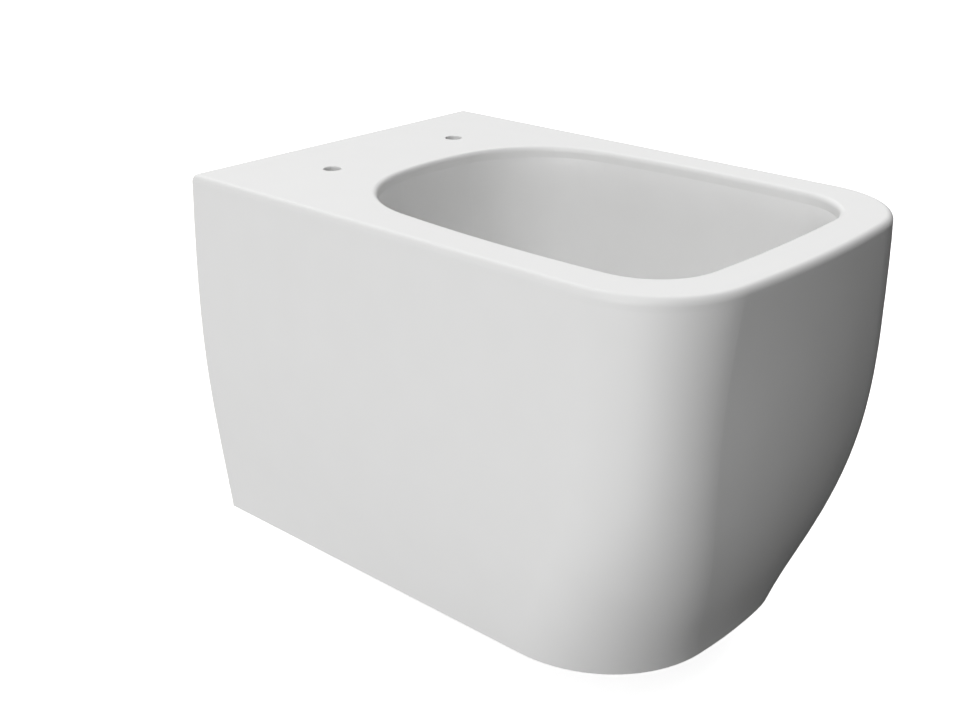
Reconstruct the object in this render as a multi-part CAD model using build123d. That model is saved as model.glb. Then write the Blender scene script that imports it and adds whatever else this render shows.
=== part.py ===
from build123d import *
import math
import os

# Wall hung toilet pan with concealed fixing from above, its fixing set and its pipe connectors.
# Millimetres. The origin is where the waste axis meets the finished wall.
# +X is to the right as a person faces the wall, +Y goes into the wall, +Z is up.

# Set-out on the wall: the deck over the waste axis, flush pipe and studs under the deck
DECK_HEIGHT = 180.0
FLUSH_DROP = 45.0
STUD_DROP = 80.0
STUD_SPACING = 180.0
WALL_REACH = 45.0

# Outer skin
DECK_WIDTH = 349.2
DECK_LENGTH = 515.2
BODY_HEIGHT = 330.5
UNDERSIDE_FALL = 15.0
DECK_EDGE = 6.0
SKIRT_WALL = 9.0
DECK_WALL = 14.0
REAR_FLANGE = 16.0
REAR_RETURN = 22.0
REAR_CORNER = 16.0

# Seat holes in the deck
HINGE_SPACING = 155.0
HINGE_SETBACK = 73.0
HINGE_HOLE = 15.6
HINGE_HOLE_DEPTH = 30.0
HINGE_TUBE = 17.2
HINGE_TUBE_WALL = 8.2
HINGE_EDGE = 1.0

# Bowl
BOWL_SETBACK = 116.5
RIM_FRONT = 35.0
RIM_SIDE = 33.3
LIP = 4.5
BOWL_WALL = 9.0
BOWL_BELLY = 52.0

# Flush channel
CHANNEL_WIDTH = 22.0
CHANNEL_HEIGHT = 44.0
CHANNEL_WALL = 9.0
CHANNEL_RIGHT = 28.0
CHANNEL_FRONT = 205.0
JET_LENGTH = 30.0
JET_SLANT = 26.0

# Water trap and waste horn
THROAT_HEIGHT = 53.0
THROAT_WIDTH = 78.0
SUMP_SETBACK = 225.0
TRAP_FLOOR = 11.0
TRAP_WALL = 9.0
WASTE_BORE = 80.0
WASTE_HORN = 102.0
WASTE_SETBACK = 50.0
WASTE_STRAIGHT = 38.0
WEB = 12.0

# Flush horn
FLUSH_SOCKET = 55.0
FLUSH_SOCKET_DEPTH = 42.0
FLUSH_SETBACK = 20.0
FLUSH_HORN_WALL = 9.0
FLUSH_BORE = 44.0

# Fixing pockets
POCKET_WIDTH = 48.0
POCKET_FRONT = 88.0
POCKET_MOUTH = 34.0
POCKET_WALL = 9.0
POCKET_CORNER = 4.0

# Fixing set
STUD = 12.0
STUD_SHANK = 11.7
STUD_SHANK_END = 1.0
STUD_CHAMFER = 1.2
THREAD_GAP = 0.1
SEAT_GAP = 0.3
WASHER = 30.0
WASHER_THICKNESS = 3.0
NUT_FLATS = 18.0
NUT_HEIGHT = 10.8
NUT_CROWN = 0.3
SLEEVE_WALL = 2.7
BLOCK_WIDTH = 44.0
BLOCK_HEIGHT = 24.0
BLOCK_LENGTH = 36.0
BLOCK_CORNER = 4.0
BLOCK_RIB = 5.0
BLOCK_RECESS = 10.0
GROOVE_DEPTH = 5.0
GROOVE_LENGTH = 14.0
GROOVE_OFFSET = 1.0
POCKET_FLOOR_GAP = 1.0
POCKET_CLEARANCE = 4.0
PLATE_THICKNESS = 3.0
PLATE_LENGTH = 30.0
PAD_THICKNESS = 2.7
COLLAR = 14.0
COLLAR_HEIGHT = 15.0
SCREW = 10.0
SCREW_LENGTH = 30.0
SCREW_SOCKET = 5.0
SCREW_FLAT = 1.0

# Pipe connectors
FLUSH_PIPE = 45.0
FLUSH_PIPE_WALL = 2.5
FLUSH_PIPE_BEAD = 1.5
SPIGOT = 90.0
CONNECTOR_WALL = 3.5
SLEEVE_OVERLAP = 38.0
SEAL_SPACE = 3.5
SEAL_WIDTH = 16.0
SEAL_LIPS = 3
SEAL_LIP = 1.6
SEAL_COLLAR = 3.0
PIPE_END_GAP = 4.0
RESTRICTOR_BORE = 22.0
RESTRICTOR_LENGTH = 8.0
RESTRICTOR_RIM = 2.0

# Outer skin by level, as differences from the deck's outline, from the deck down to the underside:
# share of height, wider by each side, toe-in at the front each side, longer by, corner and bow radius.
# Above the first level the skirt stands upright, which lets the deck's edge round evenly.
SKIN_LEVELS = [
    (0.03, 0.0, 0.0, 0.0, 83.0, 1020.0),
    (1 / 6, 1.7, 0.0, 0.0, 79.0, 875.0),
    (2 / 6, 2.5, 0.1, 0.2, 78.0, 735.0),
    (3 / 6, 1.0, 0.1, -2.9, 82.0, 685.0),
    (4 / 6, -3.5, 0.8, -13.1, 92.0, 625.0),
    (5 / 6, -10.1, 4.7, -32.7, 101.0, 580.0),
    (6 / 6, -17.1, 14.8, -53.1, 110.0, 542.0),
]

# Bowl by level, from the lip down to the sump: share of the depth to the trap's floor,
# how far the wall has moved in at the rear, front and sides, and how round the outline is.
# Above the first level the wall stands upright, as the skirt does.
BOWL_LEVELS = [
    (0.03, 0.0, 0.0, 0.0, 0.00),
    (0.16, 4.0, 4.0, 3.0, 0.03),
    (0.32, 11.0, 18.0, 13.0, 0.12),
    (0.47, 23.0, 46.0, 33.0, 0.35),
    (0.63, 43.0, 89.0, 58.0, 0.65),
    (0.76, 65.0, 132.0, 78.0, 0.90),
    (0.85, 78.0, 156.0, 88.0, 1.00),
    (0.94, 90.0, 174.0, 97.0, 1.00),
]
# Shape of the bowl's outline in half widths, first at the lip and then at the sump
REAR_SHOULDER = (0.885, 0.75)
REAR_DROP = (0.212, 0.35)
REAR_CORNER_ROUND = (0.75, 0.80)
FRONT_SHOULDER = (0.961, 0.75)
FRONT_DROP = (0.045, 0.35)
FRONT_CORNER_ROUND = (0.40, 0.80)

# Trap's passage from the bowl to the horn: distance from the wall, share of the rise to the waste axis,
# heading, narrower than the throat each side, share of the growth from throat height to waste bore
TRAP_RUN = [
    (292.0, 0.125, -20.0, 9.0, -0.30),
    (245.0, 0.008, -6.0, 1.0, 0.04),
    (205.0, 0.0, 10.0, 0.0, 0.0),
    (163.0, 0.134, 45.0, 1.0, 0.15),
    (136.0, 0.525, 60.0, 2.0, 0.44),
    (117.0, 0.883, 34.0, 1.5, 0.78),
]

HALF_DECK = DECK_WIDTH / 2
FLUSH_HEIGHT = DECK_HEIGHT - FLUSH_DROP
STUD_HEIGHT = DECK_HEIGHT - STUD_DROP
UNDERSIDE = DECK_HEIGHT - BODY_HEIGHT
BEYOND = 30.0


def underside_at(y):
    """Height of the sloping underside at a distance from the wall."""
    return UNDERSIDE + UNDERSIDE_FALL * y / DECK_LENGTH


def trap_floor_at(y):
    return underside_at(y) + TRAP_FLOOR


SUMP_FLOOR = trap_floor_at(-SUMP_SETBACK)
SUMP_DEPTH = DECK_HEIGHT - SUMP_FLOOR


def skin_outline(level, inset=0.0):
    """Plan outline of the skirt at one level: straight sides, bowed front, rounded corners."""
    share, wider, toe_in, longer, corner, bow = level
    rear = HALF_DECK + wider - inset
    front = rear - toe_in
    nose = -(DECK_LENGTH + longer - inset)
    radius = bow - inset
    shoulder = nose + radius - math.sqrt(radius**2 - front**2)
    slope = (rear - front) / -shoulder
    behind = rear + slope * BEYOND
    sides = [
        Line((behind, BEYOND), (-behind, BEYOND)),
        Line((-behind, BEYOND), (-front, shoulder)),
        ThreePointArc((-front, shoulder), (0, nose), (front, shoulder)),
        Line((front, shoulder), (behind, BEYOND)),
    ]
    face = make_face(sides)
    corners = face.vertices().filter_by(lambda v: v.Y < 0)
    face = fillet(corners, corner - inset)
    upright = SKIN_LEVELS[0][0]
    fall = UNDERSIDE_FALL * (share - upright) / (1 - upright)
    tilt = math.degrees(math.atan(fall / DECK_LENGTH))
    return Pos(0, 0, DECK_HEIGHT - share * BODY_HEIGHT) * Rot(tilt, 0, 0) * face


def skin_solid(inset=0.0):
    """The whole outer form, running past the wall plane."""
    sections = [skin_outline(level, inset) for level in SKIN_LEVELS]
    return loft(sections) + extrude(sections[0], SKIN_LEVELS[0][0] * BODY_HEIGHT)


def behind_plane(solid, setback):
    """What lies in front of a plane parallel to the wall."""
    return split(solid, Plane((0, -setback, 0), z_dir=(0, -1, 0)), keep=Keep.TOP)


def underside_plane(thickness):
    fall = math.degrees(math.atan(UNDERSIDE_FALL / DECK_LENGTH))
    return Plane(Pos(0, 0, UNDERSIDE + thickness) * Rot(fall, 0, 0))


def bowl_outline(level, grow=0.0):
    """Plan of the bowl's wall at one level, moved outwards by grow: four arcs with rounded corners."""
    share, rear_in, front_in, side_in, roundness = level
    rear = -BOWL_SETBACK - LIP - rear_in + grow
    front = -(DECK_LENGTH - RIM_FRONT) + LIP + front_in - grow
    half = HALF_DECK - RIM_SIDE - LIP - side_in + grow

    def blend(pair):
        return half * (pair[0] + (pair[1] - pair[0]) * roundness)

    rear_x, rear_y = blend(REAR_SHOULDER), rear - blend(REAR_DROP)
    front_x, front_y = blend(FRONT_SHOULDER), front + blend(FRONT_DROP)
    widest = (rear + front) / 2 - BOWL_BELLY * (1 - roundness)
    sides = [
        ThreePointArc((-rear_x, rear_y), (0, rear), (rear_x, rear_y)),
        ThreePointArc((rear_x, rear_y), (half, widest), (front_x, front_y)),
        ThreePointArc((front_x, front_y), (0, front), (-front_x, front_y)),
        ThreePointArc((-front_x, front_y), (-half, widest), (-rear_x, rear_y)),
    ]
    face = make_face(sides)
    face = fillet([v for v in face.vertices() if v.Y > widest], blend(REAR_CORNER_ROUND))
    sharp = [v for v in face.vertices() if abs(v.Y - front_y) < 0.01 and abs(abs(v.X) - front_x) < 0.01]
    return fillet(sharp, blend(FRONT_CORNER_ROUND))


def bowl_solid(grow=0.0):
    """The bowl's inside, or with grow its outside."""
    sections = []
    for level in BOWL_LEVELS:
        height = DECK_HEIGHT - level[0] * (SUMP_DEPTH + grow)
        sections.append(Pos(0, 0, height) * bowl_outline(level, grow))
    return loft(sections) + extrude(sections[0], BOWL_LEVELS[0][0] * (SUMP_DEPTH + grow) + 1)


def bowl_plan(grow):
    """The bowl's plan at the height of the flush channel, moved outwards by grow."""
    share = (DECK_HEIGHT - FLUSH_HEIGHT) / SUMP_DEPTH
    upper, lower = BOWL_LEVELS[0], BOWL_LEVELS[1]
    blend = (share - upper[0]) / (lower[0] - upper[0])
    level = [a + (b - a) * blend for a, b in zip(upper, lower)]
    return bowl_outline(level, grow)


def slab(plan, low, high):
    """A plan face made into a solid between two heights."""
    return extrude(Pos(0, 0, low) * plan, high - low)


def block(x, y, z):
    """A plain block from three (low, high) pairs."""
    centre = [(low + high) / 2 for low, high in (x, y, z)]
    return Pos(*centre) * Box(x[1] - x[0], y[1] - y[0], z[1] - z[0])


def along_y(radius, low, high, x=0.0, z=0.0):
    """A cylinder along Y."""
    return Pos(x, (low + high) / 2, z) * Rot(90, 0, 0) * Cylinder(radius, high - low)


def tube_y(outer, inner, low, high, x=0.0, z=0.0):
    return along_y(outer, low, high, x, z) - along_y(inner, low - 1, high + 1, x, z)


def trap_section(y, z, heading, half_width, half_height):
    """One section of the trap's passage, square to its run."""
    turn = math.radians(heading)
    plane = Plane((0, y, z), x_dir=(1, 0, 0), z_dir=(0, math.cos(turn), math.sin(turn)))
    return plane * Ellipse(half_width, half_height)


def trap_solid(grow=0.0):
    """The trap's passage, or with grow its outer skin: down from the bowl, under the dip, up and out."""
    throat = THROAT_HEIGHT / 2
    dip = SUMP_FLOOR + throat
    bore = WASTE_BORE / 2
    sections = []
    for setback, rise, heading, narrower, growth in TRAP_RUN:
        half_width = THROAT_WIDTH / 2 - narrower + grow
        half_height = throat + (bore - throat) * growth + grow
        sections.append(trap_section(-setback, dip - dip * rise, heading, half_width, half_height))
    sections.append(trap_section(-WASTE_SETBACK - WASTE_STRAIGHT, 0, 0, bore + grow, bore + grow))
    return loft(sections)


def flush_ceramic():
    """The casting around the flush channel."""
    reach = BOWL_WALL + CHANNEL_WIDTH + CHANNEL_WALL
    low = FLUSH_HEIGHT - CHANNEL_HEIGHT / 2 - CHANNEL_WALL
    right = CHANNEL_RIGHT + CHANNEL_WALL
    region = block((-HALF_DECK, right), (-CHANNEL_FRONT - CHANNEL_WALL, 0), (low, DECK_HEIGHT))
    return slab(bowl_plan(reach), low, DECK_HEIGHT) & region


def flush_channel():
    """The water's way: round the rear left of the bowl, then through a slanted jet in its wall."""
    low = FLUSH_HEIGHT - CHANNEL_HEIGHT / 2
    high = FLUSH_HEIGHT + CHANNEL_HEIGHT / 2
    ring = slab(bowl_plan(BOWL_WALL + CHANNEL_WIDTH), low, high)
    ring -= slab(bowl_plan(BOWL_WALL), low - 1, high + 1)
    channel = ring & block((-HALF_DECK, CHANNEL_RIGHT), (-CHANNEL_FRONT, 0), (low, high))
    side = HALF_DECK - RIM_SIDE
    jet = Polyline(
        (-side, -CHANNEL_FRONT + JET_LENGTH),
        (-side, -CHANNEL_FRONT),
        (-side / 2, -CHANNEL_FRONT - JET_SLANT * 2),
        (-side / 2, -CHANNEL_FRONT + JET_LENGTH - JET_SLANT * 2),
        close=True,
    )
    wall = slab(bowl_plan(BOWL_WALL + 1), low, high)
    wall -= slab(bowl_plan(-CHANNEL_WALL), low - 1, high + 1)
    return channel + (wall & slab(make_face(jet), low, high))


def pocket_heights():
    """Floor and ceiling of a fixing pocket."""
    floor = STUD_HEIGHT - BLOCK_HEIGHT / 2 - POCKET_FLOOR_GAP
    ceiling = STUD_HEIGHT + BLOCK_HEIGHT / 2 + SEAT_GAP + PLATE_THICKNESS + PAD_THICKNESS
    return floor, ceiling


def pocket_ceramic(side):
    """The casting around one fixing pocket, with its tube up to the seat hole and its rib to the skirt."""
    floor, ceiling = pocket_heights()
    x = side * STUD_SPACING / 2
    half = POCKET_WIDTH / 2 + POCKET_WALL
    casing = block(
        (x - half, x + half),
        (-POCKET_FRONT - POCKET_WALL, -POCKET_MOUTH),
        (floor - POCKET_WALL, ceiling + POCKET_WALL),
    )
    casing = fillet(casing.edges().filter_by(Axis.Y), POCKET_CORNER + POCKET_WALL / 2)
    tube = Cylinder(HINGE_TUBE / 2 + HINGE_TUBE_WALL, DECK_HEIGHT - ceiling)
    tube = Pos(side * HINGE_SPACING / 2, -HINGE_SETBACK, (ceiling + DECK_HEIGHT) / 2) * tube
    outer = side * HALF_DECK
    rib = block(
        (min(x, outer), max(x, outer)),
        (-POCKET_FRONT, -POCKET_MOUTH - POCKET_WALL),
        (STUD_HEIGHT - SKIRT_WALL / 2, STUD_HEIGHT + SKIRT_WALL / 2),
    )
    return casing + tube + rib


def pocket_space(side):
    """What is open in one fixing pocket: the stud's way in and the screw's way down."""
    floor, ceiling = pocket_heights()
    x = side * STUD_SPACING / 2
    half = POCKET_WIDTH / 2
    pocket = block((x - half, x + half), (-POCKET_FRONT, -POCKET_MOUTH + 1), (floor, ceiling))
    pocket = fillet(pocket.edges().filter_by(Axis.Y), POCKET_CORNER)
    step = DECK_HEIGHT - HINGE_HOLE_DEPTH
    way = slab(Circle(HINGE_TUBE / 2), ceiling - 1, step)
    way += slab(Circle(HINGE_HOLE / 2), step, DECK_HEIGHT + 1)
    return pocket + Pos(side * HINGE_SPACING / 2, -HINGE_SETBACK, 0) * way


def rear_opening():
    """The open back of the skirt, inside the flange that meets the wall."""
    high = DECK_HEIGHT - DECK_WALL
    low = UNDERSIDE + REAR_RETURN
    wide = HALF_DECK - REAR_RETURN
    narrow = HALF_DECK + SKIN_LEVELS[-1][1] - REAR_RETURN
    outline = Polyline((-wide, high), (wide, high), (narrow, low), (-narrow, low), close=True)
    face = make_face(Plane.XZ * outline)
    face = fillet(face.vertices(), REAR_CORNER)
    return Pos(0, 1, 0) * extrude(face, REAR_FLANGE + 2, dir=(0, -1, 0))


def rear_space():
    """The hollow between skirt and bowl."""
    hollow = behind_plane(skin_solid(SKIRT_WALL), REAR_FLANGE)
    hollow = split(hollow, Plane((0, 0, DECK_HEIGHT - DECK_WALL)), keep=Keep.BOTTOM)
    return split(hollow, underside_plane(SKIRT_WALL), keep=Keep.TOP)


def ease_deck_edges(pan):
    """Round the bowl's lip and the rims of the seat holes, as the glaze leaves them."""
    front = -(DECK_LENGTH - RIM_FRONT)

    def on_deck(edge):
        return abs(edge.center().Z - DECK_HEIGHT) < 0.05 and abs(edge.center().X) < HALF_DECK - RIM_SIDE

    lip = pan.edges().filter_by(lambda e: on_deck(e) and front < e.center().Y < -BOWL_SETBACK)
    pan = fillet(lip, LIP)
    holes = pan.edges().filter_by(lambda e: on_deck(e) and -BOWL_SETBACK < e.center().Y < -1)
    return fillet(holes, HINGE_EDGE)


def make_pan():
    """The fired body, one casting."""
    body = behind_plane(skin_solid(), 0)
    edges = body.edges().filter_by(lambda e: abs(e.center().Z - DECK_HEIGHT) < 0.1 and e.center().Y < -1)
    body = fillet(edges, DECK_EDGE)

    horn_end = -WASTE_SETBACK - WASTE_STRAIGHT
    flush_end = -FLUSH_SETBACK - FLUSH_SOCKET_DEPTH
    casting = bowl_solid(BOWL_WALL) + trap_solid(TRAP_WALL)
    casting += along_y(WASTE_HORN / 2, horn_end - WEB, -WASTE_SETBACK)
    flush_horn = FLUSH_SOCKET / 2 + FLUSH_HORN_WALL
    casting += along_y(flush_horn, -BOWL_SETBACK - LIP, -FLUSH_SETBACK, z=FLUSH_HEIGHT)
    casting += flush_ceramic()
    web_end = -WASTE_SETBACK - SLEEVE_OVERLAP - POCKET_CLEARANCE
    casting += block((-WEB / 2, WEB / 2), (-SUMP_SETBACK, web_end), (UNDERSIDE - WEB, -WASTE_BORE / 2 - 2))
    for side in (-1, 1):
        casting += pocket_ceramic(side)

    pan = body - (rear_space() + rear_opening() - casting)
    pan -= bowl_solid()
    pan -= trap_solid() + along_y(WASTE_BORE / 2, horn_end, -WASTE_SETBACK + 1)
    pan -= along_y(FLUSH_SOCKET / 2, flush_end, -FLUSH_SETBACK + 1, z=FLUSH_HEIGHT)
    pan -= along_y(FLUSH_BORE / 2, -BOWL_SETBACK + BOWL_WALL, flush_end + 1, z=FLUSH_HEIGHT)
    pan -= flush_channel()
    for side in (-1, 1):
        pan -= pocket_space(side)
    return ease_deck_edges(pan)


def both(make):
    """A left and a right copy in one group."""
    return Compound(children=[make(-1), make(1)])


def stud_x(side):
    return side * STUD_SPACING / 2


def make_stud(side):
    """Stud with a shank for the fixing set and a full thread beyond the washer, for the wall."""
    end = -POCKET_FRONT + POCKET_CLEARANCE
    shank = along_y(STUD_SHANK / 2, end, STUD_SHANK_END)
    thread = along_y(STUD / 2, STUD_SHANK_END, WALL_REACH)
    shank = chamfer(shank.edges().filter_by(lambda e: abs(e.center().Y - end) < 0.01), STUD_CHAMFER)
    thread = chamfer(thread.edges().filter_by(lambda e: abs(e.center().Y - WALL_REACH) < 0.01), STUD_CHAMFER)
    return Pos(stud_x(side), 0, STUD_HEIGHT) * (shank + thread)


def make_washer(side):
    return tube_y(WASHER / 2, STUD_SHANK / 2 + SEAT_GAP, -WASHER_THICKNESS, 0, stud_x(side), STUD_HEIGHT)


def make_nut(side):
    outline = RegularPolygon(NUT_FLATS / 2, 6, major_radius=False) - Circle(STUD_SHANK / 2 + THREAD_GAP)
    nut = extrude(outline, NUT_HEIGHT)
    crown = Cone(NUT_FLATS / 2 + NUT_HEIGHT + NUT_CROWN, NUT_FLATS / 2 + NUT_CROWN, NUT_HEIGHT)
    nut &= Pos(0, 0, NUT_HEIGHT / 2) * crown
    return Pos(stud_x(side), -WASHER_THICKNESS, STUD_HEIGHT) * Rot(90, 0, 0) * nut


def block_rear():
    """Distance from the wall to the anchor block's near end."""
    return POCKET_FRONT - POCKET_CLEARANCE / 2 - BLOCK_LENGTH


def make_sleeve(side):
    inner = STUD_SHANK / 2 + SEAT_GAP
    low = -block_rear() + SEAT_GAP
    high = -WASHER_THICKNESS - NUT_HEIGHT - SEAT_GAP
    return tube_y(inner + SLEEVE_WALL, inner, low, high, stud_x(side), STUD_HEIGHT)


def make_anchor_block(side):
    """Cast block on the stud, with an arm whose groove takes the tension screw's point."""
    x = stud_x(side)
    screw_x = side * HINGE_SPACING / 2
    low = -block_rear() - BLOCK_LENGTH
    high = -block_rear()
    boss = along_y(BLOCK_HEIGHT / 2, low, high, x, STUD_HEIGHT)
    outer = x + side * BLOCK_WIDTH / 2
    inner = x - side * BLOCK_WIDTH / 2
    body = block(
        (min(inner, outer), max(inner, outer)),
        (low, high),
        (STUD_HEIGHT - BLOCK_HEIGHT / 2, STUD_HEIGHT + BLOCK_HEIGHT / 2),
    )
    body = fillet(body.edges().filter_by(Axis.Y), BLOCK_CORNER)
    foot = block(
        (min(inner, x) - 1, max(inner, x) + 1),
        (low + BLOCK_RIB, high - BLOCK_RIB),
        (STUD_HEIGHT - BLOCK_HEIGHT, STUD_HEIGHT - BLOCK_HEIGHT / 2 + BLOCK_RECESS),
    )
    body = body - foot + boss
    body -= along_y(STUD_SHANK / 2 + THREAD_GAP, low - 1, high + 1, x, STUD_HEIGHT)
    top = STUD_HEIGHT + BLOCK_HEIGHT / 2
    groove_y = -HINGE_SETBACK + GROOVE_OFFSET
    valley = Polyline(
        (groove_y - GROOVE_DEPTH - 1, top + 1),
        (groove_y, top - GROOVE_DEPTH),
        (groove_y + GROOVE_DEPTH + 1, top + 1),
        close=True,
    )
    groove = extrude(make_face(Plane.YZ * valley), GROOVE_LENGTH, dir=(1, 0, 0))
    return body - Pos(screw_x - GROOVE_LENGTH / 2, 0, 0) * groove


def plate_outline(side, hole):
    """Plan of the clamp plate and its pad, which line up with stud and seat hole."""
    y = -POCKET_FRONT + POCKET_CLEARANCE / 2 + PLATE_LENGTH / 2
    width = POCKET_WIDTH - 2 * POCKET_CORNER
    plan = Pos(stud_x(side), y) * RectangleRounded(width, PLATE_LENGTH, BLOCK_CORNER)
    return plan - Pos(side * HINGE_SPACING / 2, -HINGE_SETBACK) * Circle(hole / 2)


def make_clamp_plate(side):
    """Steel plate with a threaded collar that reaches up into the seat hole's tube."""
    low = STUD_HEIGHT + BLOCK_HEIGHT / 2 + SEAT_GAP
    thread = SCREW + 2 * THREAD_GAP
    plate = slab(plate_outline(side, thread), low, low + PLATE_THICKNESS)
    collar = Pos(side * HINGE_SPACING / 2, -HINGE_SETBACK) * (Circle(COLLAR / 2) - Circle(thread / 2))
    return plate + slab(collar, low + PLATE_THICKNESS / 2, low + PLATE_THICKNESS + COLLAR_HEIGHT)


def make_clamp_pad(side):
    ceiling = pocket_heights()[1]
    return slab(plate_outline(side, COLLAR + 2 * SEAT_GAP), ceiling - PAD_THICKNESS, ceiling)


def make_tension_screw(side):
    """Set screw whose cone rests on the groove's flank."""
    radius = SCREW / 2
    groove_floor = STUD_HEIGHT + BLOCK_HEIGHT / 2 - GROOVE_DEPTH
    tip = groove_floor + GROOVE_OFFSET + SEAT_GAP * math.sqrt(2)
    profile = Polyline(
        (0, tip + SCREW_FLAT),
        (SCREW_FLAT, tip + SCREW_FLAT),
        (radius, tip + radius),
        (radius, tip + SCREW_LENGTH - SCREW_FLAT),
        (radius - SCREW_FLAT, tip + SCREW_LENGTH),
        (0, tip + SCREW_LENGTH),
        close=True,
    )
    screw = revolve(make_face(Plane.XZ * profile), Axis.Z)
    key = RegularPolygon(SCREW_SOCKET / 2, 6, major_radius=False)
    screw -= slab(key, tip + SCREW_LENGTH - SCREW_SOCKET, tip + SCREW_LENGTH + 1)
    return Pos(side * HINGE_SPACING / 2, -HINGE_SETBACK, 0) * screw


def turned_y(points, x=0.0, z=0.0):
    """A ring about an axis along Y, from (radius, y) points."""
    face = make_face(Plane.XY * Polyline(*points, close=True))
    return Pos(x, 0, z) * revolve(face, Axis.Y)


def make_flush_pipe():
    """Pipe with bevelled ends and a bead that stops it at the seal."""
    outer = FLUSH_PIPE / 2
    inner = outer - FLUSH_PIPE_WALL
    low = -FLUSH_SETBACK - FLUSH_SOCKET_DEPTH + PIPE_END_GAP
    bead = -FLUSH_SETBACK + SEAL_COLLAR + SEAT_GAP * 2
    points = [
        (inner, low),
        (outer - FLUSH_PIPE_WALL / 2, low),
        (outer, low + FLUSH_PIPE_WALL * 2),
        (outer, bead),
        (outer + FLUSH_PIPE_BEAD, bead),
        (outer + FLUSH_PIPE_BEAD, bead + FLUSH_PIPE_BEAD),
        (outer, bead + FLUSH_PIPE_BEAD * 2),
        (outer, WALL_REACH - FLUSH_PIPE_WALL * 2),
        (outer - FLUSH_PIPE_WALL / 2, WALL_REACH),
        (inner, WALL_REACH),
    ]
    return turned_y(points, z=FLUSH_HEIGHT)


def make_flush_seal():
    """Rubber seal with three lips in the horn and a collar on the horn's mouth."""
    inner = FLUSH_PIPE / 2 + SEAT_GAP
    outer = FLUSH_SOCKET / 2 - SEAT_GAP
    waist = outer - SEAL_LIP
    mouth = -FLUSH_SETBACK + SEAT_GAP
    pitch = (FLUSH_SOCKET_DEPTH - PIPE_END_GAP * 2) / SEAL_LIPS
    points = [(inner, mouth + SEAL_COLLAR), (FLUSH_SOCKET / 2 + SEAL_COLLAR, mouth + SEAL_COLLAR)]
    points += [(FLUSH_SOCKET / 2 + SEAL_COLLAR, mouth), (waist, mouth)]
    for lip in range(SEAL_LIPS):
        start = mouth - lip * pitch
        points += [(waist, start - pitch * 0.3), (outer, start - pitch * 0.5), (waist, start - pitch * 0.9)]
    points.append((inner, mouth - SEAL_LIPS * pitch))
    return turned_y(points, z=FLUSH_HEIGHT)


def make_flow_restrictor():
    """Throttle ring in the end of the flush pipe, with a stepped bore."""
    outer = FLUSH_PIPE / 2 - FLUSH_PIPE_WALL - SEAT_GAP
    low = -FLUSH_SETBACK - FLUSH_SOCKET_DEPTH + PIPE_END_GAP
    bore = RESTRICTOR_BORE / 2
    points = [
        (bore, low),
        (outer, low),
        (outer, low + RESTRICTOR_LENGTH),
        (outer - RESTRICTOR_RIM, low + RESTRICTOR_LENGTH),
        (outer - RESTRICTOR_RIM, low + RESTRICTOR_RIM),
        (bore, low + RESTRICTOR_RIM),
    ]
    return turned_y(points, z=FLUSH_HEIGHT)


def connector_radii():
    """Spigot bore, socket bore and outside of the socket of the waste connector."""
    socket = WASTE_HORN / 2 + SEAL_SPACE
    return SPIGOT / 2 - CONNECTOR_WALL, socket, socket + CONNECTOR_WALL


def make_waste_connector():
    """Plastic sleeve over the waste horn that narrows to the wall's spigot."""
    bore, socket, outside = connector_radii()
    shoulder = -WASTE_SETBACK + SEAT_GAP
    mouth = -WASTE_SETBACK - SLEEVE_OVERLAP
    bead = outside + SEAL_SPACE
    groove = socket + SEAL_SPACE
    seal_low = mouth + CONNECTOR_WALL
    seal_high = seal_low + SEAL_WIDTH
    neck = -REAR_FLANGE
    points = [
        (bore, WALL_REACH),
        (SPIGOT / 2 - CONNECTOR_WALL / 2, WALL_REACH),
        (SPIGOT / 2, WALL_REACH - CONNECTOR_WALL * 2),
        (SPIGOT / 2, neck),
        (outside, shoulder + CONNECTOR_WALL),
        (outside, seal_high + SEAL_SPACE * 2),
        (bead, seal_high + SEAL_SPACE),
        (bead, mouth),
        (socket, mouth),
        (socket, seal_low),
        (groove, seal_low),
        (groove, seal_high),
        (socket, seal_high),
        (socket, shoulder),
        (bore, shoulder),
    ]
    return turned_y(points)


def make_waste_seal():
    """Lip seal in the connector's groove, its lips on the ceramic horn."""
    socket = connector_radii()[1]
    back = socket + SEAL_SPACE - SEAT_GAP
    root = socket + SEAT_GAP
    lip = WASTE_HORN / 2 + SEAT_GAP
    low = -WASTE_SETBACK - SLEEVE_OVERLAP + CONNECTOR_WALL + SEAT_GAP
    pitch = (SEAL_WIDTH - 2 * SEAT_GAP) / SEAL_LIPS
    points = [(back, low + SEAL_LIPS * pitch), (back, low)]
    for step in range(SEAL_LIPS):
        start = low + step * pitch
        points += [(root, start + pitch * 0.1), (lip, start + pitch * 0.6), (root, start + pitch * 0.7)]
    points.append((root, low + SEAL_LIPS * pitch))
    return turned_y(points)


def main():
    parts = {
        "pan": make_pan(),
        "wall_studs": both(make_stud),
        "stud_washers": both(make_washer),
        "stud_nuts": both(make_nut),
        "tension_screws": both(make_tension_screw),
        "flush_pipe": make_flush_pipe(),
        "flush_seal": make_flush_seal(),
        "flow_restrictor": make_flow_restrictor(),
        "waste_connector": make_waste_connector(),
        "waste_seal": make_waste_seal(),
    }
    for name, side in (("left", -1), ("right", 1)):
        parts["stud_sleeve_" + name] = make_sleeve(side)
        parts["anchor_block_" + name] = make_anchor_block(side)
        parts["clamp_plate_" + name] = make_clamp_plate(side)
        parts["clamp_pad_" + name] = make_clamp_pad(side)
    os.makedirs("parts", exist_ok=True)
    for name, shape in parts.items():
        export_step(shape, "parts/" + name + ".step")


main()
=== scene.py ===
# %% [markdown]
# # A wall hung toilet pan
# The solid parts come packed from the CAD step, in metres, already in their places.
# This script gives them their finishes, replaces the plain rods by threaded ones,
# adds the ribs of the waste connector, and sets up the studio.

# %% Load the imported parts
import math

import bpy
from mathutils import Matrix, Vector


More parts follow.
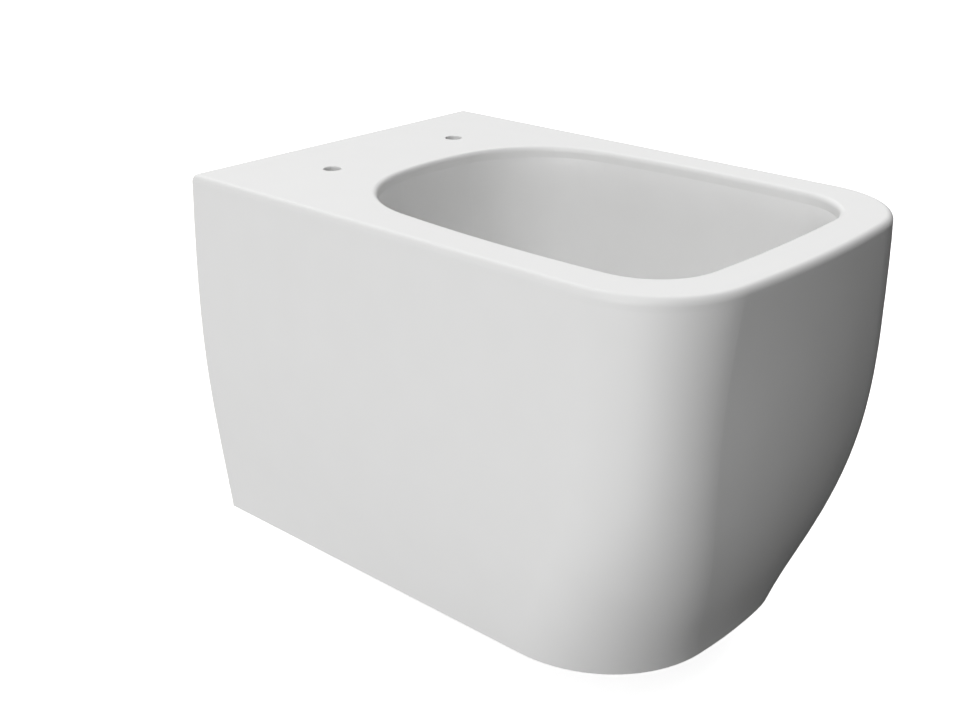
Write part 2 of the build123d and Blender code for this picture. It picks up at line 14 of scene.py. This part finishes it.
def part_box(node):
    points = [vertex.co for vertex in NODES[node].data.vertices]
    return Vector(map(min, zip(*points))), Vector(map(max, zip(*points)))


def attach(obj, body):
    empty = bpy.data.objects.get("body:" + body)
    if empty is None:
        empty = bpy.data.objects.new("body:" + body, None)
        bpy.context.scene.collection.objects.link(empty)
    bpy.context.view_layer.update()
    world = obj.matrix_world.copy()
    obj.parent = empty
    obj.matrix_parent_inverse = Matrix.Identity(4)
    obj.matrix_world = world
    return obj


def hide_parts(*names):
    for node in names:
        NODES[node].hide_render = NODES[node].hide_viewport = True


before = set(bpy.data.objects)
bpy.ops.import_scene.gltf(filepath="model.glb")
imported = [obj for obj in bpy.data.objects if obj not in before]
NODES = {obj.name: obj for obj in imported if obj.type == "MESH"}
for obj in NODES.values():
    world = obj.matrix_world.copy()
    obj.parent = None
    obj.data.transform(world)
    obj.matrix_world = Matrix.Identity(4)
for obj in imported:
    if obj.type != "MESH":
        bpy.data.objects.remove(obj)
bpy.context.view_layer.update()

# %% [markdown]
# ## A short way to write node trees
# A node tree in Blender is a list of nodes and a list of links. Written out in full it takes
# three lines for each node, so one small helper makes a node, fills in its sockets by name and
# hands it back. A value that is itself a socket becomes a link.


# %% Helpers for node trees
def add(tree, kind, values=None, **settings):
    """Make one node. values maps socket names or numbers to constants or to other nodes' outputs."""
    node = tree.nodes.new(kind)
    for name, value in settings.items():
        setattr(node, name, value)
    for key, value in (values or {}).items():
        socket = node.inputs[key]
        if isinstance(value, bpy.types.NodeSocket):
            tree.links.new(value, socket)
        else:
            socket.default_value = value
    return node


def math_node(tree, operation, a, b=0.0):
    return add(tree, "ShaderNodeMath", {0: a, 1: b}, operation=operation).outputs[0]


# %% [markdown]
# ## Relief and tone, shared by all the finishes
# No real surface is perfectly even. A glaze has the faint waviness called orange peel, a casting
# has grain, and a moulding has a fine spark texture. All of these are noise at some size and
# depth, so one shader node group makes them, with the sizes as named inputs. The group puts out
# a height for the Bump node and a mask for colour and roughness.


# %% The relief group
def make_relief_group():
    tree = bpy.data.node_groups.new("relief", "ShaderNodeTree")
    for label, value in (("Grain Size", 0.002), ("Wave Size", 0.03), ("Wave Share", 0.5)):
        socket = tree.interface.new_socket(label, in_out="INPUT", socket_type="NodeSocketFloat")
        socket.default_value = value
    for label in ("Height", "Mask"):
        tree.interface.new_socket(label, in_out="OUTPUT", socket_type="NodeSocketFloat")
    given = add(tree, "NodeGroupInput").outputs
    place_on_piece = add(tree, "ShaderNodeTexCoord").outputs["Object"]
    grain_scale = math_node(tree, "DIVIDE", 1.0, given["Grain Size"])
    wave_scale = math_node(tree, "DIVIDE", 1.0, given["Wave Size"])
    grain = add(
        tree,
        "ShaderNodeTexNoise",
        {"Vector": place_on_piece, "Scale": grain_scale, "Detail": 3.0, "Roughness": 0.5},
    )
    wave = add(
        tree,
        "ShaderNodeTexNoise",
        {"Vector": place_on_piece, "Scale": wave_scale, "Detail": 1.0, "Roughness": 0.4},
    )
    mixed = add(
        tree,
        "ShaderNodeMix",
        {"Factor": given["Wave Share"], "A": grain.outputs["Fac"], "B": wave.outputs["Fac"]},
        data_type="FLOAT",
    )
    add(tree, "NodeGroupOutput", {"Height": mixed.outputs[0], "Mask": wave.outputs["Fac"]})
    return tree


RELIEF = make_relief_group()
print("shared group:", RELIEF.name)

# %% [markdown]
# ## One pattern for a finish
# Each finish is a Principled shader with its own constants, and the relief group behind it.
# The noise moves the colour between two close tones and the roughness between two close values,
# and it drives a Bump node whose distance is the real depth of the relief in metres.


# %% The finish maker
GLASS_IOR = 1.5


def make_finish(name, tones, roughness, relief, depth, metallic=0.0, coat=0.0, coat_roughness=0.05):
    """The noise moves between the two tones and the two roughnesses.

    relief is the grain size, the wave size and the share of the wave, and depth is in metres.
    """
    material = bpy.data.materials.new(name)
    material.use_nodes = True
    tree = material.node_tree
    shader = tree.nodes["Principled BSDF"]
    shader.inputs["Metallic"].default_value = metallic
    shader.inputs["IOR"].default_value = GLASS_IOR
    shader.inputs["Coat Weight"].default_value = coat
    shader.inputs["Coat Roughness"].default_value = coat_roughness
    grain_size, wave_size, wave_share = relief
    noise = add(tree, "ShaderNodeGroup", {}, node_tree=RELIEF)
    noise.inputs["Grain Size"].default_value = grain_size
    noise.inputs["Wave Size"].default_value = wave_size
    noise.inputs["Wave Share"].default_value = wave_share
    tone = add(
        tree,
        "ShaderNodeMix",
        {"Factor": noise.outputs["Mask"], 6: (*tones[0], 1.0), 7: (*tones[1], 1.0)},
        data_type="RGBA",
    )
    tree.links.new(tone.outputs[2], shader.inputs["Base Color"])
    gloss = add(
        tree,
        "ShaderNodeMapRange",
        {"Value": noise.outputs["Mask"], "To Min": roughness[0], "To Max": roughness[1]},
    )
    tree.links.new(gloss.outputs[0], shader.inputs["Roughness"])
    raised = {"Height": noise.outputs["Height"], "Distance": depth, "Strength": 1.0}
    bump = add(tree, "ShaderNodeBump", raised)
    tree.links.new(bump.outputs[0], shader.inputs["Normal"])
    return material


print("finish maker uses:", RELIEF.name)

# %% [markdown]
# ## The glaze
# Sanitary glaze is a layer of white glass on the clay. The photograph shows it without one sharp
# reflection, so its gloss is kept soft here, with a thin coat on top. The waves are the faint
# orange peel of a sprayed glaze, a few hundredths of a millimetre deep.

# %% Glaze
GLAZE = make_finish(
    "glaze",
    tones=((0.79, 0.79, 0.785), (0.81, 0.81, 0.807)),
    roughness=(0.34, 0.40),
    relief=(0.004, 0.035, 0.7),
    depth=0.00003,
    coat=0.15,
    coat_roughness=0.12,
)
print("glaze:", GLAZE.name)

# %% [markdown]
# ## The fastenings' metals
# The steel parts are zinc plated: bright, bluish and a little uneven. The blocks are die cast, so
# they are greyer and rougher. Both are metals, which have no colour of their own but that of
# their reflection, so metallic is 1 and the tone says how much they reflect.

# %% Metals
ZINC = make_finish(
    "zinc_plating",
    tones=((0.62, 0.63, 0.65), (0.74, 0.74, 0.73)),
    roughness=(0.28, 0.42),
    relief=(0.0006, 0.006, 0.3),
    depth=0.00002,
    metallic=1.0,
)
DIE_CAST = make_finish(
    "die_cast_zinc",
    tones=((0.42, 0.43, 0.44), (0.52, 0.52, 0.52)),
    roughness=(0.45, 0.6),
    relief=(0.0005, 0.01, 0.2),
    depth=0.00006,
    metallic=1.0,
)
print("metals:", ZINC.name, DIE_CAST.name)

# %% [markdown]
# ## Plastics and rubber
# The moulded parts differ in colour, gloss and grain: white sleeves, dark pads, black pipes, an
# orange restrictor that is easy to tell from the pipe, and dull black rubber for the seals.

# %% Plastics and rubber
WHITE_PLASTIC = make_finish(
    "sleeve_plastic",
    tones=((0.74, 0.74, 0.72), (0.78, 0.78, 0.77)),
    roughness=(0.4, 0.5),
    relief=(0.0005, 0.02, 0.2),
    depth=0.00002,
)
PAD_PLASTIC = make_finish(
    "pad_plastic",
    tones=((0.05, 0.052, 0.055), (0.065, 0.066, 0.068)),
    roughness=(0.5, 0.62),
    relief=(0.0004, 0.01, 0.2),
    depth=0.00003,
)
PIPE_PLASTIC = make_finish(
    "pipe_plastic",
    tones=((0.012, 0.012, 0.013), (0.02, 0.02, 0.021)),
    roughness=(0.32, 0.42),
    relief=(0.0008, 0.03, 0.4),
    depth=0.00003,
)
RESTRICTOR_PLASTIC = make_finish(
    "restrictor_plastic",
    tones=((0.55, 0.14, 0.03), (0.6, 0.17, 0.04)),
    roughness=(0.4, 0.5),
    relief=(0.0005, 0.01, 0.2),
    depth=0.00002,
)
RUBBER = make_finish(
    "seal_rubber",
    tones=((0.01, 0.01, 0.01), (0.018, 0.018, 0.018)),
    roughness=(0.6, 0.75),
    relief=(0.0004, 0.008, 0.3),
    depth=0.00004,
)
print("finishes:", [m.name for m in bpy.data.materials])

# %% [markdown]
# ## Bare clay on the back
# The pan is fired standing on its back, so the glaze is wiped off the face that meets the wall.
# There the body shows, matt and a little warmer than the glaze. The face is the plane at Y = 0, so
# a mask on the Object coordinate finds it, and fades within the last millimetre.

# %% Wipe the glaze off the rear face
WIPED = 0.0009
CLAY_TONE = (0.78, 0.76, 0.72, 1.0)
CLAY_ROUGHNESS = 0.85


def wipe_back(material):
    tree = material.node_tree
    shader = tree.nodes["Principled BSDF"]
    across = add(tree, "ShaderNodeSeparateXYZ", {0: add(tree, "ShaderNodeTexCoord").outputs["Object"]})
    bare = add(
        tree,
        "ShaderNodeMapRange",
        {"Value": across.outputs["Y"], "From Min": -WIPED, "From Max": -WIPED / 3},
        interpolation_type="SMOOTHSTEP",
    ).outputs[0]
    colour = shader.inputs["Base Color"].links[0].from_socket
    clay = add(tree, "ShaderNodeMix", {"Factor": bare, 6: colour, 7: CLAY_TONE}, data_type="RGBA")
    tree.links.new(clay.outputs[2], shader.inputs["Base Color"])
    gloss = shader.inputs["Roughness"].links[0].from_socket
    rough = add(tree, "ShaderNodeMix", {"Factor": bare, "A": gloss, "B": CLAY_ROUGHNESS}, data_type="FLOAT")
    tree.links.new(rough.outputs[0], shader.inputs["Roughness"])
    full = shader.inputs["Coat Weight"].default_value
    coat = add(tree, "ShaderNodeMapRange", {"Value": bare, "To Min": full, "To Max": 0.0})
    tree.links.new(coat.outputs[0], shader.inputs["Coat Weight"])


wipe_back(GLAZE)
print("glaze wiped off behind Y =", -WIPED)

# %% [markdown]
# ## Dress the CAD parts
# A CAD part keeps its mesh and only gets a material. The table says which finish each part has,
# as a maker's parts list would.

# %% Finish of each part
FINISHES = {
    "pan": GLAZE,
    "stud_washers": ZINC,
    "stud_nuts": ZINC,
    "clamp_plate_left": ZINC,
    "clamp_plate_right": ZINC,
    "anchor_block_left": DIE_CAST,
    "anchor_block_right": DIE_CAST,
    "stud_sleeve_left": WHITE_PLASTIC,
    "stud_sleeve_right": WHITE_PLASTIC,
    "clamp_pad_left": PAD_PLASTIC,
    "clamp_pad_right": PAD_PLASTIC,
    "flush_pipe": PIPE_PLASTIC,
    "waste_connector": PIPE_PLASTIC,
    "flow_restrictor": RESTRICTOR_PLASTIC,
    "flush_seal": RUBBER,
    "waste_seal": RUBBER,
    "wall_studs": ZINC,
    "tension_screws": ZINC,
}
for name, finish in FINISHES.items():
    slots = NODES[name].data.materials
    slots.clear()
    slots.append(finish)
print("dressed:", len(FINISHES), "of", len(NODES))

# %% [markdown]
# ## Geometry Nodes that end in a plain mesh
# What repeats is made by Geometry Nodes: the tree is built here, gets its sizes through named
# inputs, and ends in Realize Instances and Set Material. The modifier's result is then taken as
# a plain mesh, because the export drops instances. The mesh is turned right side out if its
# volume comes out negative.


# %% Helpers for geometry
CUBIC_MM = 1e9


def new_geometry_tree(name, sizes):
    """A tree with one named input per size and a geometry output."""
    tree = bpy.data.node_groups.new(name, "GeometryNodeTree")
    for label, kind, value in sizes:
        tree.interface.new_socket(label, in_out="INPUT", socket_type=kind).default_value = value
    tree.interface.new_socket("Geometry", in_out="OUTPUT", socket_type="NodeSocketGeometry")
    return tree


def end_tree(tree, geometry, finish):
    real = add(tree, "GeometryNodeRealizeInstances", {0: geometry})
    smooth = add(tree, "GeometryNodeSetShadeSmooth", {0: real.outputs[0]})
    dressed = add(tree, "GeometryNodeSetMaterial", {0: smooth.outputs[0], "Material": finish})
    add(tree, "NodeGroupOutput", {0: dressed.outputs[0]})


def signed_volume(mesh):
    mesh.calc_loop_triangles()
    total = 0.0
    for triangle in mesh.loop_triangles:
        a, b, c = (mesh.vertices[i].co for i in triangle.vertices)
        total += a.dot(b.cross(c)) / 6
    return total


def grow_mesh(name, tree, values):
    """Run a tree with the given inputs and return its result as a plain object at the origin."""
    carrier = bpy.data.objects.new(name + "_carrier", bpy.data.meshes.new(name + "_carrier"))
    bpy.context.scene.collection.objects.link(carrier)
    modifier = carrier.modifiers.new("grow", "NODES")
    modifier.node_group = tree
    for item in tree.interface.items_tree:
        if item.in_out == "INPUT" and item.name in values:
            modifier[item.identifier] = values[item.name]
    grown = carrier.evaluated_get(bpy.context.evaluated_depsgraph_get())
    mesh = bpy.data.meshes.new_from_object(grown)
    carrier.modifiers.clear()
    bpy.data.objects.remove(carrier)
    if signed_volume(mesh) < 0:
        mesh.flip_normals()
    mesh.name = name
    piece = bpy.data.objects.new(name, mesh)
    bpy.context.scene.collection.objects.link(piece)
    volume = signed_volume(mesh) * CUBIC_MM
    print(name, "triangles:", len(mesh.loop_triangles), "volume mm3:", round(volume))
    return piece


# %% [markdown]
# ## The wall studs' thread
# A thread is a ridge that climbs one pitch for each turn round the rod. Seen on the unrolled
# surface it is a slanted triangle wave, so a flat grid can carry it: one direction of the grid
# runs along the rod, the other goes round it, and the radius follows the wave of
# along / pitch - turn. Crest and root are cut flat, as on a real metric thread. The first and the
# last row of the grid are drawn to a point, which closes the ends. Both rods are the same, so the
# tree makes one and sets it on two points.


# %% Thread tree
STUD_ROWS = 700
STUD_SIDES = 36
ROOT_FLAT = 0.2
CREST_FLAT = 0.85
SEAM_GAP = 0.000002


def make_thread_tree(finish):
    sizes = [
        ("Radius", "NodeSocketFloat", 0.006),
        ("Shank Radius", "NodeSocketFloat", 0.00585),
        ("Shank Length", "NodeSocketFloat", 0.085),
        ("Length", "NodeSocketFloat", 0.129),
        ("Pitch", "NodeSocketFloat", 0.00175),
        ("Depth", "NodeSocketFloat", 0.00105),
        ("Chamfer", "NodeSocketFloat", 0.0012),
        ("Spacing", "NodeSocketFloat", 0.18),
        ("Start", "NodeSocketVector", (0.0, 0.0, 0.0)),
    ]
    tree = new_geometry_tree("threaded_rods", sizes)
    given = add(tree, "NodeGroupInput").outputs

    def m(operation, a, b=0.0):
        return math_node(tree, operation, a, b)

    grid = add(
        tree,
        "GeometryNodeMeshGrid",
        {"Size X": 1.0, "Size Y": 1.0, "Vertices X": STUD_ROWS, "Vertices Y": STUD_SIDES + 1},
    )
    flat = add(tree, "ShaderNodeSeparateXYZ", {0: add(tree, "GeometryNodeInputPosition").outputs[0]})
    row = m("MULTIPLY", m("ADD", flat.outputs["X"], 0.5), STUD_ROWS - 1.0)
    turn = m("ADD", flat.outputs["Y"], 0.5)
    share = m("MINIMUM", m("MAXIMUM", m("DIVIDE", m("SUBTRACT", row, 1.0), STUD_ROWS - 3.0), 0.0), 1.0)
    along = m("MULTIPLY", share, given["Length"])
    wave = m("MULTIPLY", m("PINGPONG", m("SUBTRACT", m("DIVIDE", along, given["Pitch"]), turn), 0.5), 2.0)
    flats = {"Value": wave, "From Min": ROOT_FLAT, "From Max": CREST_FLAT}
    ridge = add(tree, "ShaderNodeMapRange", flats).outputs[0]
    on_shank = m("LESS_THAN", along, given["Shank Length"])
    thinner = m("MULTIPLY", on_shank, m("SUBTRACT", given["Radius"], given["Shank Radius"]))
    crest = m("SUBTRACT", given["Radius"], thinner)
    radius = m("SUBTRACT", crest, m("MULTIPLY", given["Depth"], m("SUBTRACT", 1.0, ridge)))
    to_end = m("MINIMUM", along, m("SUBTRACT", given["Length"], along))
    radius = m("MINIMUM", radius, m("ADD", m("SUBTRACT", crest, given["Chamfer"]), to_end))
    capped = m("MULTIPLY", m("GREATER_THAN", row, 0.5), m("LESS_THAN", row, STUD_ROWS - 1.5))
    radius = m("MULTIPLY", radius, capped)
    angle = m("MULTIPLY", turn, 2 * math.pi)
    wrapped = add(
        tree,
        "ShaderNodeCombineXYZ",
        {
            "X": m("MULTIPLY", radius, m("COSINE", angle)),
            "Y": along,
            "Z": m("MULTIPLY", radius, m("SINE", angle)),
        },
    )
    moved = {"Geometry": grid.outputs["Mesh"], "Position": wrapped.outputs[0]}
    rod = add(tree, "GeometryNodeSetPosition", moved)
    joined = {"Geometry": rod.outputs[0], "Distance": SEAM_GAP}
    closed = add(tree, "GeometryNodeMergeByDistance", joined)
    step = add(tree, "ShaderNodeCombineXYZ", {"X": given["Spacing"]})
    line = {"Count": 2, "Start Location": given["Start"], "Offset": step.outputs[0]}
    spots = add(tree, "GeometryNodeMeshLine", line)
    pair = {"Points": spots.outputs[0], "Instance": closed.outputs[0]}
    rods = add(tree, "GeometryNodeInstanceOnPoints", pair)
    end_tree(tree, rods.outputs[0], finish)
    return tree


THREAD_TREE = make_thread_tree(ZINC)
print("thread tree nodes:", len(THREAD_TREE.nodes))

# %% [markdown]
# ## Threaded studs for the plain ones
# The CAD rods are plain cylinders, with a slightly thinner shank inside the pan. The box of that
# part gives their radius, ends and spacing, so the threaded rods lie exactly where they did and
# stay within them. The plain part stays for collision, and this piece is shown for it.

# %% Threaded studs in place of the plain ones
SHANK_STEP = 0.00015
SHANK_PAST_WALL = 0.001
low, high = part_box("wall_studs")
stud_radius = (high[2] - low[2]) / 2
stud_centre = (high[2] + low[2]) / 2
wall_studs = grow_mesh(
    "threaded_studs",
    THREAD_TREE,
    {
        "Radius": stud_radius,
        "Shank Radius": stud_radius - SHANK_STEP,
        "Shank Length": -low[1] + SHANK_PAST_WALL,
        "Length": high[1] - low[1],
        "Spacing": high[0] - low[0] - 2 * stud_radius,
        "Start": (low[0] + stud_radius, low[1], stud_centre),
    },
)
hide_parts("wall_studs")
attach(wall_studs, "root")

# %% [markdown]
# ## Ribs on the waste connector
# Between its sleeve and its spigot the connector narrows, and moulded ribs stiffen that shoulder.
# One rib is a thin box whose top is bent up into a low arch. It is set round the pipe's axis as
# often as the count says, each copy turned by its own share of the circle.


# %% Rib tree
def make_rib_tree(finish):
    sizes = [
        ("Count", "NodeSocketInt", 12),
        ("Thickness", "NodeSocketFloat", 0.0025),
        ("Low Y", "NodeSocketFloat", -0.046),
        ("High Y", "NodeSocketFloat", -0.01),
        ("Sleeve Radius", "NodeSocketFloat", 0.058),
        ("Spigot Radius", "NodeSocketFloat", 0.045),
        ("Rise", "NodeSocketFloat", 0.0035),
        ("Sink", "NodeSocketFloat", 0.0008),
    ]
    tree = new_geometry_tree("shoulder_ribs", sizes)
    given = add(tree, "NodeGroupInput").outputs

    def m(operation, a, b=0.0):
        return math_node(tree, operation, a, b)

    box_size = add(tree, "ShaderNodeCombineXYZ", {"X": given["Thickness"], "Y": 1.0, "Z": 1.0})
    box = add(
        tree,
        "GeometryNodeMeshCube",
        {"Size": box_size.outputs[0], "Vertices X": 2, "Vertices Y": 17, "Vertices Z": 2},
    )
    flat = add(tree, "ShaderNodeSeparateXYZ", {0: add(tree, "GeometryNodeInputPosition").outputs[0]})
    share = m("ADD", flat.outputs["Y"], 0.5)
    up = m("ADD", flat.outputs["Z"], 0.5)
    y = m("ADD", given["Low Y"], m("MULTIPLY", share, m("SUBTRACT", given["High Y"], given["Low Y"])))
    narrowing = m("MULTIPLY", share, m("SUBTRACT", given["Sleeve Radius"], given["Spigot Radius"]))
    shoulder = m("SUBTRACT", m("SUBTRACT", given["Sleeve Radius"], narrowing), given["Sink"])
    arch = m("MULTIPLY", given["Rise"], m("SINE", m("MULTIPLY", share, math.pi)))
    radius = m("ADD", shoulder, m("MULTIPLY", up, m("ADD", arch, m("MULTIPLY", given["Sink"], 0.5))))
    bent = add(tree, "ShaderNodeCombineXYZ", {"X": flat.outputs["X"], "Y": y, "Z": radius})
    moved = {"Geometry": box.outputs["Mesh"], "Position": bent.outputs[0]}
    rib = add(tree, "GeometryNodeSetPosition", moved)
    still = {"Count": given["Count"], "Offset": (0.0, 0.0, 0.0)}
    spots = add(tree, "GeometryNodeMeshLine", still)
    index = add(tree, "GeometryNodeInputIndex").outputs[0]
    angle = m("DIVIDE", m("MULTIPLY", m("ADD", index, 0.5), 2 * math.pi), given["Count"])
    turned = add(tree, "ShaderNodeCombineXYZ", {"Y": angle})
    ribs = add(
        tree,
        "GeometryNodeInstanceOnPoints",
        {"Points": spots.outputs[0], "Instance": rib.outputs[0], "Rotation": turned.outputs[0]},
    )
    end_tree(tree, ribs.outputs[0], finish)
    return tree


RIB_TREE = make_rib_tree(PIPE_PLASTIC)
print("rib tree nodes:", len(RIB_TREE.nodes))

# %% [markdown]
# ## Setting the ribs
# A moulding like this has about a dozen ribs, and only their number is given here. The other
# sizes are the tree's own, which follow the shoulder of the connector.

# %% Twelve ribs
RIB_COUNT = 12
ribs = grow_mesh("connector_ribs", RIB_TREE, {"Count": RIB_COUNT})
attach(ribs, "root")

# %% [markdown]
# ## The floor and the studio
# The photograph shows the pan alone on white. A pale floor lies a normal mounting height below
# it.

# %% Floor
FLOOR_DROP = 0.22
FLOOR_REACH = 12.0


def make_floor():
    mesh = bpy.data.meshes.new("floor")
    far = FLOOR_REACH
    corners = [(-far, -far), (far, -far), (far, far), (-far, far)]
    mesh.from_pydata([(x, y, -FLOOR_DROP) for x, y in corners], [], [(0, 1, 2, 3)])
    floor = bpy.data.objects.new("floor", mesh)
    bpy.context.scene.collection.objects.link(floor)
    return floor


floor = make_floor()
print("floor height:", -FLOOR_DROP)

# %% [markdown]
# ## The floor's paper
# The floor is near white paper with a faint fibre. It glows a little, so that its tone comes close
# to the white behind it, and it throws no light back at the pan, because the tent alone was
# balanced for the pan's tones.

# %% Floor finish
FLOOR_GLOW = 0.75
FIBRE_SCALE = 60.0
paper = bpy.data.materials.new("pale_floor")
paper.use_nodes = True
tree = paper.node_tree
shader = tree.nodes["Principled BSDF"]
spot = add(tree, "ShaderNodeTexCoord").outputs["Object"]
fibre = add(tree, "ShaderNodeTexNoise", {"Vector": spot, "Scale": FIBRE_SCALE, "Detail": 2.0})
paper_tones = {"Value": fibre.outputs["Fac"], "To Min": 0.9, "To Max": 0.92}
tone = add(tree, "ShaderNodeMapRange", paper_tones)
grey = add(tree, "ShaderNodeCombineColor", {0: tone.outputs[0], 1: tone.outputs[0], 2: tone.outputs[0]})
tree.links.new(grey.outputs[0], shader.inputs["Base Color"])
tree.links.new(grey.outputs[0], shader.inputs["Emission Color"])
shader.inputs["Emission Strength"].default_value = FLOOR_GLOW
shader.inputs["Roughness"].default_value = 0.9
floor.data.materials.append(paper)
floor.visible_diffuse = False
floor.visible_glossy = False
print("floor finish:", paper.name)

# %% [markdown]
# ## Soft studio light
# The photograph has no hard shadow and no sharp reflection: the pan stands in a white tent that is
# lit from outside. Area lamps would show as bright squares in the glaze, so the world itself is
# the tent. Each lamp behind it makes a lobe, brightest in one direction and fading smoothly: the
# cosine of the angle to that direction, raised to a power. The higher the power, the narrower the
# lobe. The strengths were balanced until the tones came close to the photograph. The camera
# itself sees plain white.

# %% The light tent
# Azimuth and elevation in degrees, the power that narrows the lobe, and its strength
LAMPS = [
    (-80.0, 20.0, 10.0, 2.16),
    (-75.0, 70.0, 10.0, 1.95),
    (-60.0, 40.0, 10.0, 0.43),
    (-60.0, 5.0, 10.0, 0.17),
    (-60.0, -30.0, 10.0, 1.13),
    (-135.0, -35.0, 3.0, 0.92),
    (110.0, 30.0, 10.0, 1.03),
    (135.0, 40.0, 3.0, 0.41),
    (135.0, 60.0, 10.0, 1.02),
    (160.0, 30.0, 10.0, 1.22),
]


def towards(azimuth, elevation):
    """Direction from the pan to a point at this azimuth and elevation, in degrees."""
    a, e = math.radians(azimuth), math.radians(elevation)
    return Vector((math.sin(a) * math.cos(e), -math.cos(a) * math.cos(e), math.sin(e)))


def make_tent(lamps):
    world = bpy.data.worlds.new("light_tent")
    world.use_nodes = True
    tree = world.node_tree
    tree.nodes.clear()
    direction = add(tree, "ShaderNodeTexCoord").outputs["Generated"]
    total = None
    for azimuth, elevation, power, strength in lamps:
        axis = towards(azimuth, elevation)
        facing = add(tree, "ShaderNodeVectorMath", {0: direction, 1: axis}, operation="DOT_PRODUCT")
        lit = math_node(tree, "MAXIMUM", facing.outputs["Value"], 0.0)
        lobe = math_node(tree, "POWER", lit, power)
        lobe = math_node(tree, "MULTIPLY", lobe, strength)
        total = lobe if total is None else math_node(tree, "ADD", total, lobe)
    light = add(tree, "ShaderNodeBackground", {"Color": (1.0, 1.0, 1.0, 1.0), "Strength": total})
    white = add(tree, "ShaderNodeBackground", {"Color": (1.0, 1.0, 1.0, 1.0), "Strength": 1.0})
    seen = add(tree, "ShaderNodeLightPath").outputs["Is Camera Ray"]
    mixed = add(tree, "ShaderNodeMixShader", {0: seen, 1: light.outputs[0], 2: white.outputs[0]})
    add(tree, "ShaderNodeOutputWorld", {"Surface": mixed.outputs[0]})
    return world


bpy.context.scene.world = make_tent(LAMPS)
print("lamps behind the tent:", len(LAMPS))

# %% [markdown]
# ## The camera
# The viewing angle was worked out from the photograph's straight edges, seat holes and outline.
# The camera looks against its own back axis, so its rotation is the matrix of its three axes.

# %% Camera
CAMERA_PLACE = (-0.8679, -0.9682, 0.4942)
CAMERA_AZIMUTH = -47.674
CAMERA_ELEVATION = 22.699
CAMERA_LENS = 51.93


def make_camera():
    data = bpy.data.cameras.new("camera")
    data.lens = CAMERA_LENS
    data.sensor_width = 36.0
    data.sensor_fit = "HORIZONTAL"
    data.clip_start = 0.01
    data.clip_end = 50.0
    camera = bpy.data.objects.new("camera", data)
    bpy.context.scene.collection.objects.link(camera)
    back = towards(CAMERA_AZIMUTH, CAMERA_ELEVATION)
    a = math.radians(CAMERA_AZIMUTH)
    right = Vector((math.cos(a), math.sin(a), 0.0))
    turn = Matrix((right, back.cross(right), back)).transposed()
    camera.matrix_world = Matrix.Translation(CAMERA_PLACE) @ turn.to_4x4()
    return camera


bpy.context.scene.camera = make_camera()
bpy.context.scene.view_settings.view_transform = "Standard"
print("camera at:", CAMERA_PLACE)
